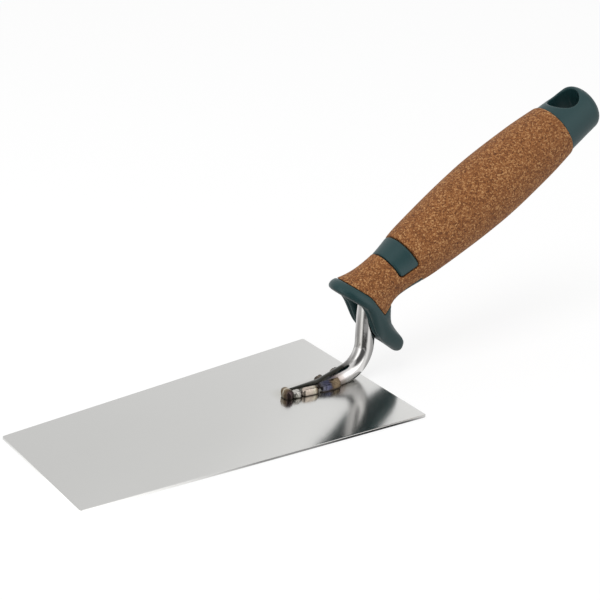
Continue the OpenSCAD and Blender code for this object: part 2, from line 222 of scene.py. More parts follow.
def field_object(name, field, low, step, faces_wanted):
    """A mesh object on the zero surface of a field in handle coordinates."""
    verts, quads = surface_nets(field, low, step)
    # Each round moves the vertices down the field's slope onto the surface
    for _ in range(SETTLING_ROUNDS):
        here = sample(field, verts, low, step)
        slope = np.stack([
            (sample(field, verts + step * 0.5 * np.eye(3)[n], low, step)
             - sample(field, verts - step * 0.5 * np.eye(3)[n], low, step)) / step
            for n in range(3)
        ], 1)
        verts = verts - np.clip(here, -step, step)[:, None] * slope / np.maximum(
            (slope ** 2).sum(1), LEAST_SLOPE)[:, None]
    # The field counts across to the near side, the row to the far side
    verts[:, 1] *= -1
    quads = quads[:, ::-1]
    obj = mesh_object(name, verts, quads.tolist(), HANDLE_TO_ROW)
    if len(quads) * 2 > faces_wanted:
        thin = obj.modifiers.new("thin", "DECIMATE")
        thin.ratio = faces_wanted / (len(quads) * 2)
        apply_modifiers(obj)
        obj.data.shade_smooth()
    return obj


def grip_curve(per_span):
    """The grip's outline behind the neck, as distances and radii."""
    p = [(NECK_AT + d, dia / 2) for d, dia in GRIP_STATIONS]
    last = len(p) - 1

    def slope(i):
        if i == 0:
            return NECK_SLOPE
        if i == last:
            return (p[i][1] - p[i - 1][1]) / (p[i][0] - p[i - 1][0]) * SEAM_TAPER
        return (p[i + 1][1] - p[i - 1][1]) / (p[i + 1][0] - p[i - 1][0])

    out = []
    for i in range(last):
        d = p[i + 1][0] - p[i][0]
        for k in range(per_span):
            t = k / per_span
            out.append((
                p[i][0] + t * d,
                (2 * t**3 - 3 * t**2 + 1) * p[i][1] + (t**3 - 2 * t**2 + t) * d * slope(i)
                + (3 * t**2 - 2 * t**3) * p[i + 1][1] + (t**3 - t**2) * d * slope(i + 1),
            ))
    out.append(p[last])
    return np.array(out)


# ---------------------------------------------------------------- handle

# The handle's fields are sampled in a box in its own coordinates: U along it, W across, V up
STEP = 0.42
ROOM_FRONT, ROOM_REAR, ROOM_SIDE, ROOM_UNDER, ROOM_OVER = 21.0, 2.5, 18.5, 41.0, 19.0
HANDLE_FACES = 150000
LOW = np.array((-ROOM_FRONT, -ROOM_SIDE, -ROOM_UNDER))
HIGH = np.array((CAP_END + ROOM_REAR, ROOM_SIDE, ROOM_OVER))
axes = [np.arange(LOW[n], HIGH[n] + STEP, STEP, dtype=np.float32) for n in range(3)]
U, W, V = np.meshgrid(*axes, indexing="ij")

# The grip flares into the guard in front of the neck, and follows its stations behind it
lean = np.where(V > 0, LEAN_UP, LEAN_DOWN).astype(np.float32)
tongue_share = np.clip((-V - NECK_D / 2) / (FINGER_REACH - NECK_D / 2), 0, 1)
sway = np.where(V > 0, -BAND_WIDENING * np.sin(np.pi / 2 * np.clip(V / WIDENING_H, 0, 1)),
                GUARD_SWAY * np.sin(2 * np.pi * tongue_share))
ahead = lean * V + sway
reach = np.clip((NECK_AT - U) / (NECK_AT - RIM_AT + ahead), 0, 1)
half_up = blend(NECK_D / 2, LOBE_REACH, reach**TOP_POWER)
half_down = blend(NECK_D / 2, FINGER_REACH, reach**DROP_POWER)
half_side = blend(NECK_D / 2, GUARD_HALF_W, reach**HALF_POWER)
half_v = np.where(V > 0, half_up, half_down)
radius = np.hypot(V, W)
flare = (np.hypot(V / half_v, W / half_side) - 1) * half_side
curve = grip_curve(per_span=12)
behind = radius - np.interp(U, curve[:, 0], curve[:, 1])
grip = as_distance(np.where(U < NECK_AT, flare, behind), STEP).astype(np.float32)

# The joint lines between cork and plastic, and the front of the guard
seam_front = as_distance(RIM_AT - ahead - U, STEP)
chin = np.where(V > 0, 0, CHIN_BULGE * np.sin(np.pi * np.clip(-V / FINGER_REACH, 0, 1)) ** 2)
face_front = as_distance(RIM_AT - lean * V - BAND_W - chin - U, STEP)

strip_slope = STRIP_RISE / (STRIP_END - RIM_AT)
strip_edge = STRIP_DROP - strip_slope * (U - RIM_AT)
strip_box = np.maximum((V + strip_edge) / math.hypot(1, strip_slope), U - STRIP_END)
badge_side = np.abs(U - BADGE_AT - BADGE_LEN / 2) - BADGE_LEN / 2 + BADGE_CORNER_R
badge_low = BADGE_EDGE + BADGE_CORNER_R - V
badge = np.hypot(np.maximum(badge_side, 0), np.maximum(badge_low, 0)) + np.minimum(
    np.maximum(badge_side, badge_low), 0) - BADGE_CORNER_R

# Finishing sizes, in mm: grooves along the joint lines, eased edges and small clearances
BADGE_GROOVE, SEAM_GROOVE = 0.4, 0.16
CORK_END_R, CORK_SEAM_R, CORK_BADGE_R = 0.7, 0.45, 0.35
SKIN_GAP, UNDERLAP = 0.03, 1.5
PANEL_SINK, PANEL_EDGE_R, PANEL_ROOT = 0.12, 0.8, 1
STRIP_EDGE_R, BAND_FRONT_R, BAND_BACK_R, BAND_FILL_R = 0.5, 0.6, 0.35, 0.25
CAP_INSET, CAP_EDGE_R, HOLE_EDGE_R = 0.06, 0.3, 1.3
MOUTH_EDGE_R, MOUTH_END_GAP, MOUTH_PAST = 0.9, 0.5, 0.5
SOCKET_GAP, SOCKET_PAST = 0.02, 0.1
VALLEY_DEEP, VALLEY_AT, VALLEY_HALF_W, VALLEY_START = 0.9, 2.6, 0.9, 4

# Cork: the grip's skin, cut back from the green panels, with soft edges
cork = round_max(grip, U - SEAM_AT, CORK_END_R)
cork = round_max(cork, seam_front + SEAM_GROOVE, CORK_SEAM_R)
cork = round_max(cork, SEAM_GROOVE - strip_box, CORK_SEAM_R)
cork = round_max(cork, BADGE_GROOVE - badge, CORK_BADGE_R)
cork = np.maximum(cork, -(grip + CORK_T))

# Green moulding: core, badge panel, strip with finger guard, guard band and cap
core = np.maximum(grip + CORK_T + SKIN_GAP, seam_front - UNDERLAP)
core = np.maximum(core, U - SEAM_AT - UNDERLAP)
panel = round_max(grip + PANEL_SINK, badge, PANEL_EDGE_R)
panel = np.maximum(panel, -(grip + CORK_T + PANEL_ROOT))
strip = round_max(grip, strip_box, STRIP_EDGE_R)
strip = np.maximum(strip, seam_front - UNDERLAP)
# The band's section is part of a round, which starts further back at the finger guard's tip
start = np.radians(BAND_START + TIP_TURN * np.clip(-V / FINGER_REACH, 0, 1) ** 4)
band_share = np.clip((RIM_AT - ahead - U) / (BAND_W + chin - sway), 0, 1)
rise = np.clip((1 + np.sin(start)) * band_share - np.sin(start), -1, 1)
band_out = BAND_LIP + BAND_R * (np.sqrt(1 - rise**2) - np.cos(start))
band = as_distance(grip - band_out, STEP)
band = round_max(band, face_front, BAND_FRONT_R)
band = round_max(band, -seam_front, BAND_BACK_R)
green = np.minimum(np.minimum(core, panel), strip)
green = round_min(green, band, BAND_FILL_R)

# End cap with the hanging hole
round_at = CAP_END - CAP_ROUND
cap_front_r = GRIP_STATIONS[-1][1] / 2 - CAP_STEP
taper = (CAP_END_D / 2 - cap_front_r) / (round_at - SEAM_AT)
barrel = radius - (cap_front_r + taper * (U - SEAM_AT))
dome_x = np.clip((U - round_at) / CAP_ROUND, 0, None)
dome = ((radius / (CAP_END_D / 2)) ** (2 / CAP_DOME) + dome_x**2 - 1) * CAP_ROUND / 2
cap = as_distance(np.where(U < round_at, barrel, dome), STEP) + CAP_INSET
cap = round_max(cap, SEAM_AT - U, CAP_EDGE_R)
green = np.minimum(green, cap)

hole = np.hypot(U - HANG_AT, W) - HANG_D / 2
green = round_max(green, -hole, HOLE_EDGE_R)

# The guard's mouth narrows round the bar's bend, down to the socket of its tail
guard_tangent = GUARD_BEND_R * math.tan(math.radians(90 - RISER_LEAN - HANDLE_TILT) / 2)
funnel = np.clip((U - RIM_AT) / (guard_tangent - RIM_AT), 0, 1)
mouth_r = blend(MOUTH_W / 2, TANG_D / 2 + MOUTH_END_GAP, funnel)
mouth_top = blend(MOUTH_UP - MOUTH_W / 2, 0, funnel)
mouth_low = blend(MOUTH_W / 2 - MOUTH_DOWN, 0, funnel)
mouth = np.hypot(np.maximum(np.maximum(V - mouth_top, mouth_low - V), 0), W) - mouth_r
mouth = as_distance(mouth, STEP)
# Below the axis a shallow valley outside the mouth leaves a lip round it
below = np.clip(-V / VALLEY_START, 0, 1)
green = green + VALLEY_DEEP * below * np.exp(-((mouth - VALLEY_AT) / VALLEY_HALF_W) ** 2)
mouth = np.maximum(mouth, U - guard_tangent - MOUTH_PAST)
green = round_max(green, -mouth, MOUTH_EDGE_R)
socket = np.maximum(radius - TANG_D / 2 - SOCKET_GAP, U - TAIL_LEN - SOCKET_PAST)
green = np.maximum(green, -socket)

green_piece = field_object("green_moulding", green, LOW, STEP, HANDLE_FACES)
cork_piece = field_object("cork_skin", cork, LOW, STEP, HANDLE_FACES)
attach(green_piece, "root")
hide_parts("handle_core")
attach(cork_piece, "root")
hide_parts("cork_grip")

# ---------------------------------------------------------------- blade

EDGE_BREAK, EDGE_STEPS, CORNER_STEPS = 0.22, 4, 8
SHEET_SHARP = math.radians(35)


def blade_outline(inset):
    """The sheet's outline with rounded corners, drawn in by inset, as points in mm."""
    pts = []
    r = BLADE_CORNER_R
    for cx, cy in ((-1, -1), (1, -1), (1, 1), (-1, 1)):
        half = (TOE_W if cx < 0 else HEEL_W) / 2
        start = math.atan2(cy, cx) - math.pi / 4
        for k in range(CORNER_STEPS + 1):
            a = start + k * math.pi / (2 * CORNER_STEPS)
            pts.append((cx * (BLADE_LEN / 2 - r) + (r - inset) * math.cos(a),
                        cy * (half - r) + (r - inset) * math.sin(a)))
    return pts


def make_blade():
    """The sheet, with its upper and lower edges broken by a small round."""
    rings = []
    for k in range(EDGE_STEPS + 1):
        a = math.pi / 2 * k / EDGE_STEPS
        rings.append((EDGE_BREAK * (1 - math.sin(a)), EDGE_BREAK * (1 - math.cos(a))))
    levels = [(i, z) for i, z in rings] + [(i, BLADE_T - z) for i, z in reversed(rings)]
    verts, faces = [], []
    n = len(blade_outline(0))
    for inset, z in levels:
        verts += [(x, y, z) for x, y in blade_outline(inset)]
    for k in range(len(levels) - 1):
        for i in range(n):
            j = (i + 1) % n
            faces.append((k * n + i, k * n + j, (k + 1) * n + j, (k + 1) * n + i))
    faces.append(tuple(range(n - 1, -1, -1)))
    top = (len(levels) - 1) * n
    faces.append(tuple(range(top, top + n)))
    obj = mesh_object("blade_sheet", verts, faces)
    for poly in obj.data.polygons:
        if len(poly.vertices) > 4:
            poly.use_smooth = False
    obj.data.set_sharp_from_angle(angle=SHEET_SHARP)
    return obj


blade = make_blade()
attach(blade, "root")
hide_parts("blade")

# ---------------------------------------------------------------- tang

BAR_SIDES, BAR_SHARP = 64, math.radians(50)
LEVEL_STEPS, EASE_STEPS, SLOPE_STEPS, FOOT_BEND_STEPS, GUARD_BEND_STEPS = 16, 6, 6, 20, 18
# The foot's tip is rounded off on top, and nothing behind or above the foot is moved by that
TIP_ROUND_LEN, TIP_ROUND_DROP = 3.5, 1.1
FOOT_ZONE_BACK, FOOT_ZONE_H = 4, 12


def bend_path(p, angle, r, turn, steps):
    """Points and headings round a bend that starts at p with the given heading."""
    side = math.copysign(1, turn)
    out = []
    for k in range(steps + 1):
        a = angle + turn * k / steps
        out.append((p[0] + side * r * (math.sin(a) - math.sin(angle)),
                    p[1] - side * r * (math.cos(a) - math.cos(angle)), a))
    return out


def along(p, angle, d):
    """The point at a distance d from p in the given heading."""
    return (p[0] + d * math.cos(angle), p[1] + d * math.sin(angle))


def foot_half(x):
    """Half the foot's width at a distance x behind its tip."""
    return min(TANG_D, TIP_W + (TANG_D - TIP_W) * x / TIP_LEN) / 2


def bar_path():
    """The bar's centre line from the toe of its foot to the end of its tail, with headings."""
    slope, lean_a = math.radians(FOOT_SLOPE), math.radians(RISER_LEAN)
    up = math.pi / 2 - lean_a
    foot_turn, guard_turn = up - slope, up - TILT
    foot_tan = FOOT_BEND_R * math.tan(foot_turn / 2)
    guard_tan = GUARD_BEND_R * math.tan(guard_turn / 2)
    ease_tan = EASE_R * math.tan(slope / 2)
    dx, dz = CORNER[0] - SLOPE_X, CORNER[1] - TOE_Z
    run = (dx * math.cos(lean_a) - dz * math.sin(lean_a)) / math.cos(slope + lean_a)
    foot_corner = along((SLOPE_X, TOE_Z), slope, run)
    level_end = SLOPE_X - ease_tan
    path = [(TOE_X + (level_end - TOE_X) * k / LEVEL_STEPS, TOE_Z, 0) for k in range(LEVEL_STEPS)]
    path += bend_path((level_end, TOE_Z), 0, EASE_R, slope, EASE_STEPS)
    a, b = path[-1][:2], along(foot_corner, slope, -foot_tan)
    path += [(a[0] + (b[0] - a[0]) * k / SLOPE_STEPS, a[1] + (b[1] - a[1]) * k / SLOPE_STEPS, slope)
             for k in range(1, SLOPE_STEPS)]
    path += bend_path(b, slope, FOOT_BEND_R, foot_turn, FOOT_BEND_STEPS)
    path += bend_path(along(CORNER, up, -guard_tan), up, GUARD_BEND_R, -guard_turn, GUARD_BEND_STEPS)
    path.append((*along(CORNER, TILT, TAIL_LEN), TILT))
    return path


def make_tang():
    """The bar, squeezed at the tip of its foot, rounded there and pressed flat on the blade."""
    sides = BAR_SIDES
    r = TANG_D / 2
    verts, faces = [], []
    path = bar_path()
    for x, z, a in path:
        for i in range(sides):
            t = 2 * math.pi * i / sides
            up, side = math.cos(t) * r, math.sin(t) * r
            px, pz = x - up * math.sin(a), z + up * math.cos(a)
            squeeze = foot_half(px - TOE_X) / r
            tip = min(1, max(0, (px - TOE_X) / TIP_ROUND_LEN))
            drop = (1 - math.sqrt(1 - (1 - tip) ** 2)) * TIP_ROUND_DROP
            if px < CORNER[0] - FOOT_ZONE_BACK and pz < BLADE_T + FOOT_ZONE_H:
                pz = max(pz - drop, BLADE_T)
            verts.append((px, side * squeeze, pz))
    for k in range(len(path) - 1):
        for i in range(sides):
            j = (i + 1) % sides
            faces.append((k * sides + i, k * sides + j, (k + 1) * sides + j, (k + 1) * sides + i))
    last = (len(path) - 1) * sides
    faces.append(tuple(range(sides - 1, -1, -1)))
    faces.append(tuple(range(last, last + sides)))
    obj = mesh_object("tang_bar", verts, faces)
    obj.data.set_sharp_from_angle(angle=BAR_SHARP)
    return obj


tang = make_tang()
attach(tang, "root")
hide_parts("tang")

# ---------------------------------------------------------------- welds

# Sizes and places as in the CAD source, measured from the foot's tip
WELD_LOW, WELD_TAPER, WELD_BITE = 0.7, 0.94, 0.7
NEAR_RISE, FAR_RISE, TOE_RISE = 1.6, 1.6, 2.2
TOE_WELD_R, TOE_WELD_W, TOE_WELD_AT = 2.2, 2.6, 1.2
FRONT_WELD_R, REAR_WELD_R = 2, 2.2
NEAR_START, NEAR_FRONT_LEN, NEAR_MIDDLE_LEN, WELD_OVERLAP = 2.2, 5.6, 8.4, 0.6
NEAR_REAR_AT, NEAR_REAR_LEN = 15.4, 12.6
FAR_FRONT_AT, FAR_FRONT_LEN, FAR_REAR_AT, FAR_REAR_LEN = 18.5, 5.2, 26.5, 6
# How crisp a facet's edges are, the grid of a deposit, and the waves of its frozen skin per mm
CRISP, BEAD_ROWS, BEAD_COLS = 22, 84, 72
WAVES, WAVE_LOW, WAVE_HIGH = 9, 1.5, 5
# A facet stops where it turns away, keeps some depth at the ends, and never cuts to the middle
LEAST_FACING, LEAST_SWELL, LEAST_CUT = 0.2, 0.3, 0.05
NEAR, FAR = -1, 1


def side_ends(start, length, side, r):
    """The middles of a deposit's two round ends beside the foot."""
    return [(x, side * (foot_half(x) - WELD_BITE)) for x in (start + r, start + length - r)]


def climb(start, length):
    """How much higher a deposit beside the foot's slope reaches."""
    return max(0, start + length / 2 - LEVEL_LEN) * math.tan(math.radians(FOOT_SLOPE))


def make_bead(name, node, ends, r, rise, facets, rough, seed):
    """A deposit between two points on the blade, flat underneath and cut by facets.

    A facet is its turn from straight up, in degrees, its middle's share of the length, its slope
    along the deposit, and its distance from the deposit's middle as a share of the radius. Rough
    is how far, in mm, the frozen skin heaves.
    """
    rng = np.random.default_rng(seed)
    waves = [(rng.uniform(WAVE_LOW, WAVE_HIGH, 3), rng.uniform(0, 2 * math.pi)) for _ in range(WAVES)]
    a, b = np.array(ends[0], float), np.array(ends[1], float)
    length = np.linalg.norm(b - a)
    direction = (b - a) / length
    across = np.array((-direction[1], direction[0]))
    rows, cols = BEAD_ROWS, BEAD_COLS
    planes = [(math.radians(turn), at * length, tilt, share) for turn, at, tilt, share in facets]
    verts, faces = [], []
    for i in range(rows + 1):
        s = -r + (length + 2 * r) * i / rows
        end = min(1, max(0, -s, s - length) / r)
        swell = math.sqrt(1 - end**2)
        for j in range(cols):
            t = 2 * math.pi * j / cols
            cuts = [r * swell]
            for turn, at, tilt, share in planes:
                facing = math.cos(t - turn)
                if facing > LEAST_FACING:
                    cuts.append((share * r * max(swell, LEAST_SWELL) + tilt * (s - at)) / facing)
            rad = sum(max(c, LEAST_CUT * r) ** -CRISP for c in cuts) ** (-1 / CRISP)
            heave = sum(math.sin(w[0] * s + w[1] * rad * math.sin(t) + w[2] * rad * math.cos(t) + phase)
                        for w, phase in waves) / len(waves)
            rad = min(rad * (1 + rough * heave / r), r * swell)
            side = across * rad * math.sin(t)
            p = a + direction * s + side
            # The round top and the round foot of the section are drawn apart, with a straight
            # flank between them
            lift = rise * WELD_TAPER if math.cos(t) > 0 else WELD_LOW
            z = BLADE_T + lift + rad * math.cos(t)
            verts.append((TOE_X + p[0], p[1], max(z, BLADE_T)))
    for i in range(rows):
        for j in range(cols):
            k = (j + 1) % cols
            faces.append((i * cols + j, i * cols + k, (i + 1) * cols + k, (i + 1) * cols + j))
    obj = mesh_object(name, verts, faces)
    bm = bmesh.new()
    bm.from_mesh(obj.data)
    bmesh.ops.remove_doubles(bm, verts=bm.verts, dist=1e-6)
    bmesh.ops.recalc_face_normals(bm, faces=bm.faces)
    bm.to_mesh(obj.data)
    bm.free()
    obj.data.shade_smooth()
    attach(obj, "root")
    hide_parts(node)
    return obj


def side_bead(place, node, start, length, side, r, rise, facets, rough, seed):
    """A deposit beside the foot, from start to start + length behind the foot's tip."""
    return make_bead("bead_" + place, node, side_ends(start, length, side, r), r,
                     rise + climb(start, length), facets, rough, seed)


beads = {
    "toe": make_bead(
        "bead_toe", "weld_toe",
        [(TOE_WELD_AT, -TOE_WELD_W / 2), (TOE_WELD_AT, TOE_WELD_W / 2)], TOE_WELD_R, TOE_RISE,
        facets=[(70, 0.5, 0.0, 0.9), (95, 0.2, 0.2, 0.95), (110, 0.8, -0.2, 0.95)], rough=0.16, seed=3),
    "near_front": side_bead(
        "near_front", "weld_near_front",
        NEAR_START, NEAR_FRONT_LEN, NEAR, FRONT_WELD_R, NEAR_RISE,
        facets=[(-95, 0.1, 0.30, 0.84), (-65, 0.9, -0.35, 0.86), (-40, 0.2, 0.3, 0.9),
                (-10, 0.6, -0.2, 0.86)],
        rough=0.14, seed=5),
    "near_middle": side_bead(
        "near_middle", "weld_near_middle",
        NEAR_START + NEAR_FRONT_LEN - WELD_OVERLAP, NEAR_MIDDLE_LEN, NEAR, FRONT_WELD_R, NEAR_RISE,
        facets=[(-84, 0.5, 0.0, 0.86), (-12, 0.5, 0.0, 0.92), (-50, 1.0, -0.1, 0.98)], rough=0.08, seed=7),
    "near_rear": side_bead(
        "near_rear", "weld_near_rear",
        NEAR_REAR_AT, NEAR_REAR_LEN, NEAR, REAR_WELD_R, NEAR_RISE,
        facets=[(-88, 0.1, 0.12, 0.72), (-55, 0.25, -0.1, 0.78), (-15, 0.4, 0.08, 0.8),
                (-75, 0.75, -0.2, 0.86), (-35, 0.8, 0.2, 0.84)],
        rough=0.2, seed=11),
    "far_front": side_bead(
        "far_front", "weld_far_front",
        FAR_FRONT_AT, FAR_FRONT_LEN, FAR, REAR_WELD_R, FAR_RISE,
        facets=[(10, 0.2, 0.25, 0.6), (-20, 0.9, -0.3, 0.7), (60, 0.5, 0.1, 0.85)], rough=0.3, seed=13),
    "far_rear": side_bead(
        "far_rear", "weld_far_rear",
        FAR_REAR_AT, FAR_REAR_LEN, FAR, REAR_WELD_R, FAR_RISE,
        facets=[(0, 0.4, -0.1, 0.3), (45, 0.7, 0.2, 0.6)], rough=0.3, seed=17),
}

# ---------------------------------------------------------------- materials

class Nodes:
    """A short way to build a node tree: call with a type, settings and inputs."""

    def __init__(self, tree):
        self.tree = tree
        tree.nodes.clear()

    def __call__(self, kind, settings=None, **inputs):
        node = self.tree.nodes.new(kind)
        for key, val in (settings or {}).items():
            setattr(node, key, val)
        for key, val in inputs.items():
            self.put(node, key.replace("_", " "), val)
        return node

    def put(self, node, name, val):
        """Links a socket to an input, or sets the input to a value; name is its name or number."""
        socket = node.inputs[int(name)] if name.isdigit() else node.inputs[name]
        if isinstance(val, bpy.types.NodeSocket):
            self.tree.links.new(val, socket)
        elif hasattr(socket.default_value, "__len__") and len(socket.default_value) == 4 and len(val) == 3:
            socket.default_value = (*val, 1)
        else:
            socket.default_value = val

    def math(self, operation, a, b=0.0, clamp=False):
        node = self("ShaderNodeMath", {"operation": operation, "use_clamp": clamp})
        self.put(node, "0", a)
        self.put(node, "1", b)
        return node.outputs[0]

    def mix(self, factor, a, b, mode="MIX"):
        node = self("ShaderNodeMix", {"data_type": "RGBA", "blend_type": mode, "clamp_factor": True})
        self.put(node, "0", factor)
        self.put(node, "6", a)
        self.put(node, "7", b)
        return node.outputs[2]

    def ramp(self, factor, stops):
        """A colour ramp from stops of a place from 0 to 1 and a colour or a grey."""
        node = self("ShaderNodeValToRGB")
        self.put(node, "0", factor)
        elements = node.color_ramp.elements
        while len(elements) < len(stops):
            elements.new(0.5)
        for element, (at, colour) in zip(elements, stops):
            element.position = at
            colour = (colour,) * 3 if isinstance(colour, (int, float)) else colour
            element.color = (*colour, 1)
        return node.outputs[0]

    def noise(self, coords, scale, detail=3.0, rough=0.5):
        node = self("ShaderNodeTexNoise", Vector=coords, Scale=scale, Detail=detail, Roughness=rough)
        return node.outputs["Fac"]

    def cells(self, coords, scale, feature="F1"):
        return self("ShaderNodeTexVoronoi", {"feature": feature}, Vector=coords, Scale=scale)


def material(name, build):
    """A material whose builder gets the nodes, the object coordinates and the shader."""
    mat = bpy.data.materials.new(name)
    mat.use_nodes = True
    n = Nodes(mat.node_tree)
    coords = n("ShaderNodeTexCoord").outputs["Object"]
    shader = n("ShaderNodeBsdfPrincipled")
    build(n, coords, shader)
    out = n("ShaderNodeOutputMaterial")
    mat.node_tree.links.new(shader.outputs[0], out.inputs[0])
    return mat


def scaled(n, coords, x, y, z):
    """Coordinates stretched by a factor along each axis, for grain that runs in one direction."""
    return n("ShaderNodeMapping", Vector=coords, Scale=(x, y, z)).outputs[0]


def bump(n, shader, height, strength, distance):
    """A fine relief on a shader, with its depth in metres."""
    node = n("ShaderNodeBump", Height=height, Strength=strength, Distance=distance)
    n.put(shader, "Normal", node.outputs[0])


def between(n, value, low, high):
    """Where a value lies between two others, from 0 to 1."""
    return n.math("DIVIDE", n.math("SUBTRACT", value, low), high - low, True)


# Colours of the metals, of the tints that the welding left on them, and of darker marks, painted shade and a
# painted highlight
SHEET, SHEET_CLOUD, SHEET_HALO = (0.615, 0.613, 0.60), (0.58, 0.578, 0.565), (0.46, 0.45, 0.40)
BAR_SCUFF, BAR_DARK_TOP = (0.45, 0.43, 0.42), (0.030, 0.030, 0.024)
BAR_TINTS = [(0.0, (0.66, 0.65, 0.64)), (0.2, (0.62, 0.60, 0.59)), (0.36, (0.46, 0.41, 0.38)),
             (0.50, (0.27, 0.22, 0.21)), (0.66, (0.12, 0.115, 0.135)), (0.85, (0.11, 0.112, 0.115)),
             (1.0, (0.13, 0.125, 0.11))]
# The pale straw is a real tint on the peach deposit and a painted highlight across the toe deposit
STRAW, PALE_STRAW_AND_GLINT, PEACH = (0.26, 0.195, 0.125), (0.62, 0.58, 0.48), (0.60, 0.52, 0.45)
SILVER, BROWN, PLUM = (0.60, 0.58, 0.55), (0.13, 0.095, 0.065), (0.095, 0.068, 0.070)
SLATE, DUSK, VIOLET = (0.24, 0.235, 0.265), (0.11, 0.112, 0.14), (0.080, 0.083, 0.135)
# The near-black is painted shade round the deposits' feet and where they meet, and the dark of the far
# deposits
BLACKISH, WELD_SPOTS = (0.035, 0.028, 0.023), (0.42, 0.40, 0.38)
GREEN, GREEN_CLOUD = (0.0095, 0.038, 0.041), (0.0145, 0.050, 0.053)
CORK_TONES = [(0.12, (0.085, 0.027, 0.008)), (0.34, (0.19, 0.066, 0.019)), (0.52, (0.28, 0.108, 0.033)),
              (0.70, (0.39, 0.165, 0.055)), (0.86, (0.60, 0.34, 0.15))]
CORK_CLOUD = (0.17, 0.066, 0.021)

# Where the tints, the darker marks and the painted shade lie, in metres, as the two places between which each
# one fades
HALO_ASIDE, HALO_BEHIND, HALO_AHEAD = (0.0105, 0.0035), (0.0335, 0.0395), (0.0760, 0.0640)
HEAT_FADE, DARK_TOP_FADE, DARK_TOP_SIDE = (0.0600, 0.0735), (0.0690, 0.0770), (-0.0019, -0.0012)
SEAT_SHADE_FADE = (0.0013, 0.0021)


def blade_steel(n, coords, shader):
    """Polished sheet with fine brush marks and a faint darker, yellowish halo round the foot."""
    grain = n.noise(scaled(n, coords, 60, 5200, 60), 1.0, 2.0)
    cloud = n.noise(coords, 22, 3.0)
    tone = n.mix(n.math("MULTIPLY", cloud, 0.5), SHEET, SHEET_CLOUD)
    # A faint darker, yellowish halo round the foot
    split = n("ShaderNodeSeparateXYZ", Vector=coords)
    aside = between(n, n.math("ABSOLUTE", split.outputs[1]), *HALO_ASIDE)
    behind = between(n, split.outputs[0], *HALO_BEHIND)
    ahead = between(n, split.outputs[0], *HALO_AHEAD)
    halo = n.math("MULTIPLY", aside, n.math("MULTIPLY", behind, ahead))
    tone = n.mix(n.math("MULTIPLY", halo, n.math("ADD", cloud, 0.2)), tone, SHEET_HALO)
    n.put(shader, "Base Color", tone)
    n.put(shader, "Metallic", 1.0)
    rough = n.math("ADD", n.math("MULTIPLY", cloud, 0.07), 0.115)
    n.put(shader, "Roughness", n.math("ADD", rough, n.math("MULTIPLY", grain, 0.03)))
    bump(n, shader, grain, 0.02, 0.0001)


def bar_steel(n, coords, shader):
    """Polished bar, tinted by the welding along its foot."""
    split = n("ShaderNodeSeparateXYZ", Vector=coords)
    x, y, z = split.outputs
    cloud = n.noise(coords, 260, 4.0, 0.6)
    scuff = n.noise(scaled(n, coords, 900, 900, 120), 1.0, 3.0, 0.6)
    # Heat tint around the welds: strongest low on the foot and at its rear near deposit
    ragged = n.math("ADD", x, n.math("MULTIPLY", n.math("SUBTRACT", cloud, 0.5), 0.004))
    distance = n.math("ADD", ragged, n.math("MULTIPLY", z, 0.6))
    heat = n.math("SUBTRACT", 1.0, between(n, distance, *HEAT_FADE))
    tint = n.ramp(heat, BAR_TINTS)
    # Near-black along the foot's top and far side, fading out towards the bend
    edge_wobble = n.noise(scaled(n, coords, 260, 900, 900), 1.0, 4.0, 0.65)
    sway = n.math("ADD", y, n.math("MULTIPLY", n.math("SUBTRACT", edge_wobble, 0.5), 0.0022))
    fade = n.math("SUBTRACT", 1.0, between(n, ragged, *DARK_TOP_FADE))
    scale = n.math("MULTIPLY", between(n, sway, *DARK_TOP_SIDE), fade)
    tint = n.mix(scale, tint, BAR_DARK_TOP)
    n.put(shader, "Base Color", n.mix(n.math("MULTIPLY", scuff, 0.35), tint, BAR_SCUFF, "MULTIPLY"))
    n.put(shader, "Metallic", 1.0)
    shine = n.math("ADD", n.math("MULTIPLY", cloud, 0.08), 0.05)
    n.put(shader, "Roughness", n.math("ADD", n.math("MULTIPLY", heat, 0.15), shine))
    bump(n, shader, n.math("ADD", n.noise(coords, 420, 3.0), scuff), 0.12, 0.0002)


def weld_metal(axis, low, high, stops, rough):
    """Frozen metal whose heat tints follow each other along one axis, between two places in metres.

    A dark line of painted shade runs round its foot, where it meets the blade.
    """
    def build(n, coords, shader):
        split = n("ShaderNodeSeparateXYZ", Vector=coords)
        cloud = n.noise(coords, 520, 4.0, 0.6)
        share = n.math("ADD", between(n, split.outputs[axis], low, high),
                       n.math("MULTIPLY", n.math("SUBTRACT", cloud, 0.5), 0.3))
        spots = n.math("MULTIPLY", n.noise(coords, 1100, 3.0, 0.6), 0.6)
        tone = n.mix(spots, n.ramp(share, stops), WELD_SPOTS, "MULTIPLY")
        # Painted shade: near-black low on the deposit, where it meets the blade
        painted_seat_shade = n.math("SUBTRACT", 1.0, between(n, split.outputs[2], *SEAT_SHADE_FADE))
        n.put(shader, "Base Color", n.mix(painted_seat_shade, tone, BLACKISH))
        n.put(shader, "Metallic", 1.0)
        n.put(shader, "Roughness", n.math("ADD", n.math("MULTIPLY", cloud, 0.25), rough))
        bump(n, shader, n.noise(coords, 1500, 4.0), 0.25, 0.0002)
    return build


def green_plastic(n, coords, shader):
    """Dark green moulded plastic with a satin skin."""
    fine = n.noise(coords, 2600, 3.0)
    cloud = n.noise(coords, 45, 3.0)
    n.put(shader, "Base Color", n.mix(cloud, GREEN, GREEN_CLOUD))
    n.put(shader, "Roughness", n.math("ADD", n.math("MULTIPLY", cloud, 0.12), 0.34))
    shader.inputs["Specular IOR Level"].default_value = 0.38
    bump(n, shader, fine, 0.12, 0.0001)


